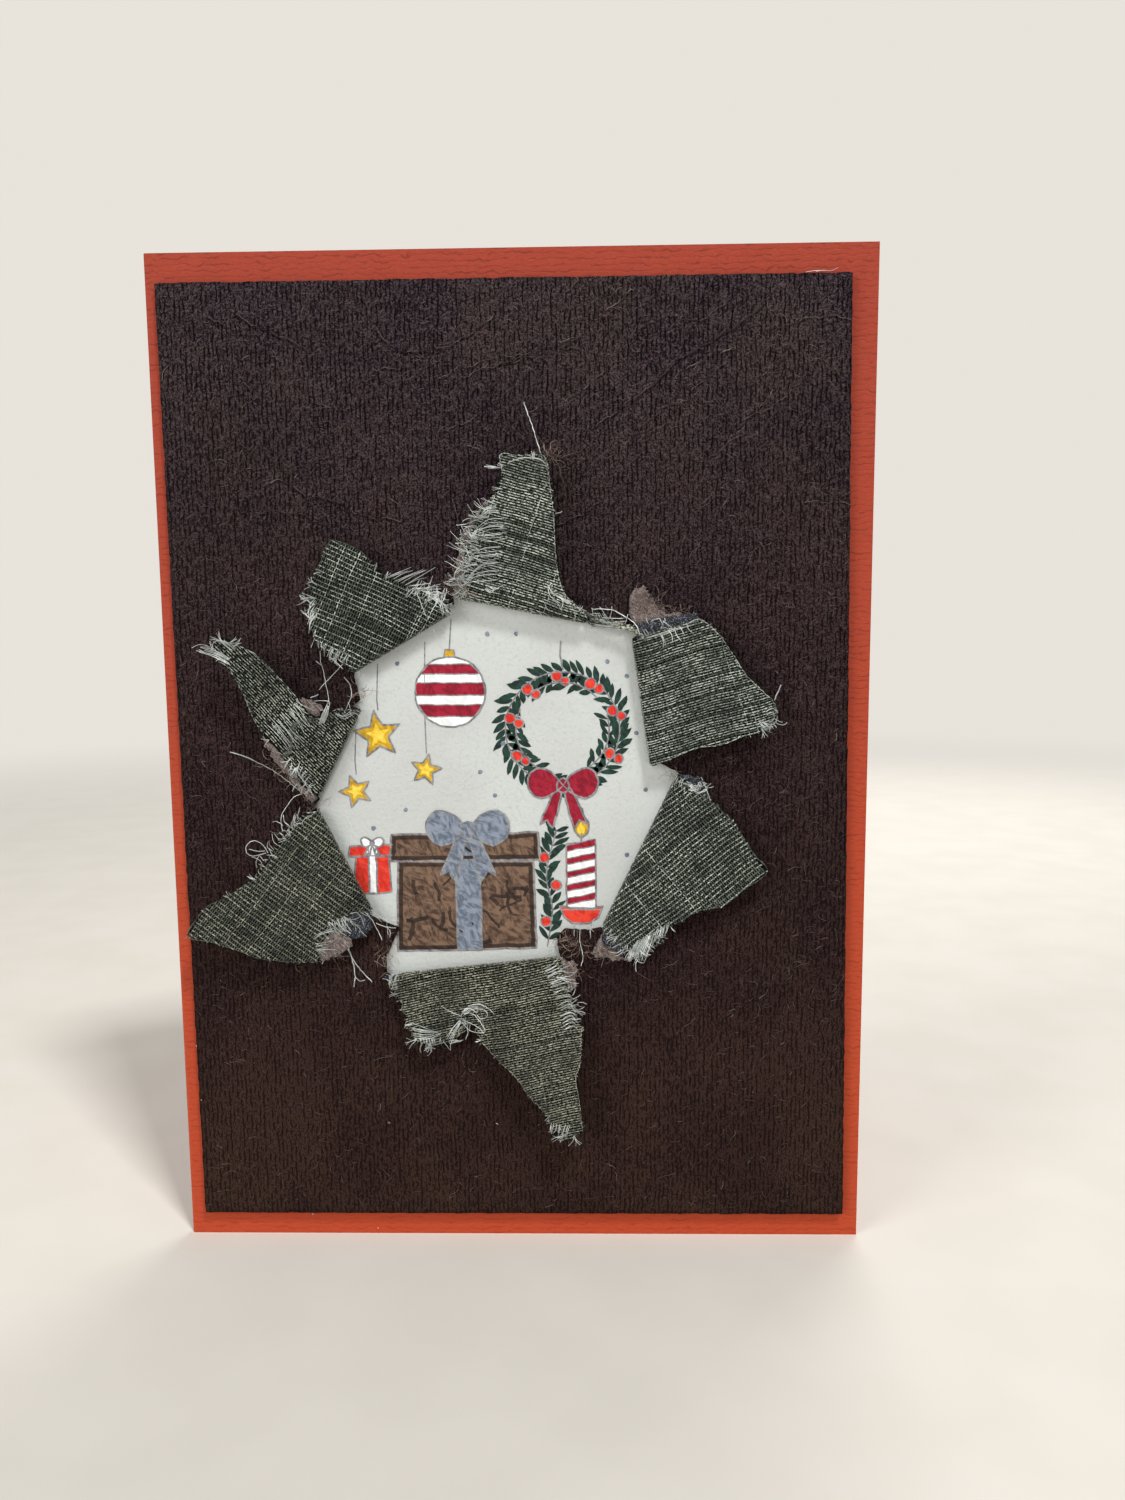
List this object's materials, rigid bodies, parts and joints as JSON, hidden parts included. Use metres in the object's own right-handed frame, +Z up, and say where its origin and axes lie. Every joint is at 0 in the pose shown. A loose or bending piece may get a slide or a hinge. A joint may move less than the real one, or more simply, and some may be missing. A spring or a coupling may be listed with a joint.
{
  "type": "greeting card",
  "caption": "Standing folded greeting card with a dark fabric panel on its front, torn open in star-shaped petals over a picture on cream paper.",
  "frame": {"origin": "middle of the box round the standing card, on the table", "axes": "+Z up along the card's height, the front looks along -Y, the fold is at -X and the back leaf stands behind at +Y"},
  "size_m": [0.148, 0.0916, 0.21],
  "materials": {
    "red_card": "matt laid cardstock with fine horizontal ribs",
    "cream_paper": null,
    "brown_felt": "dark brown suede-like nonwoven with a grey-green woven scrim bonded to its back"
  },
  "bodies": {
    "root": {"card": "red_card", "picture_sheet": "cream_paper", "felt_panel": "brown_felt"}
  },
  "joints": []
}
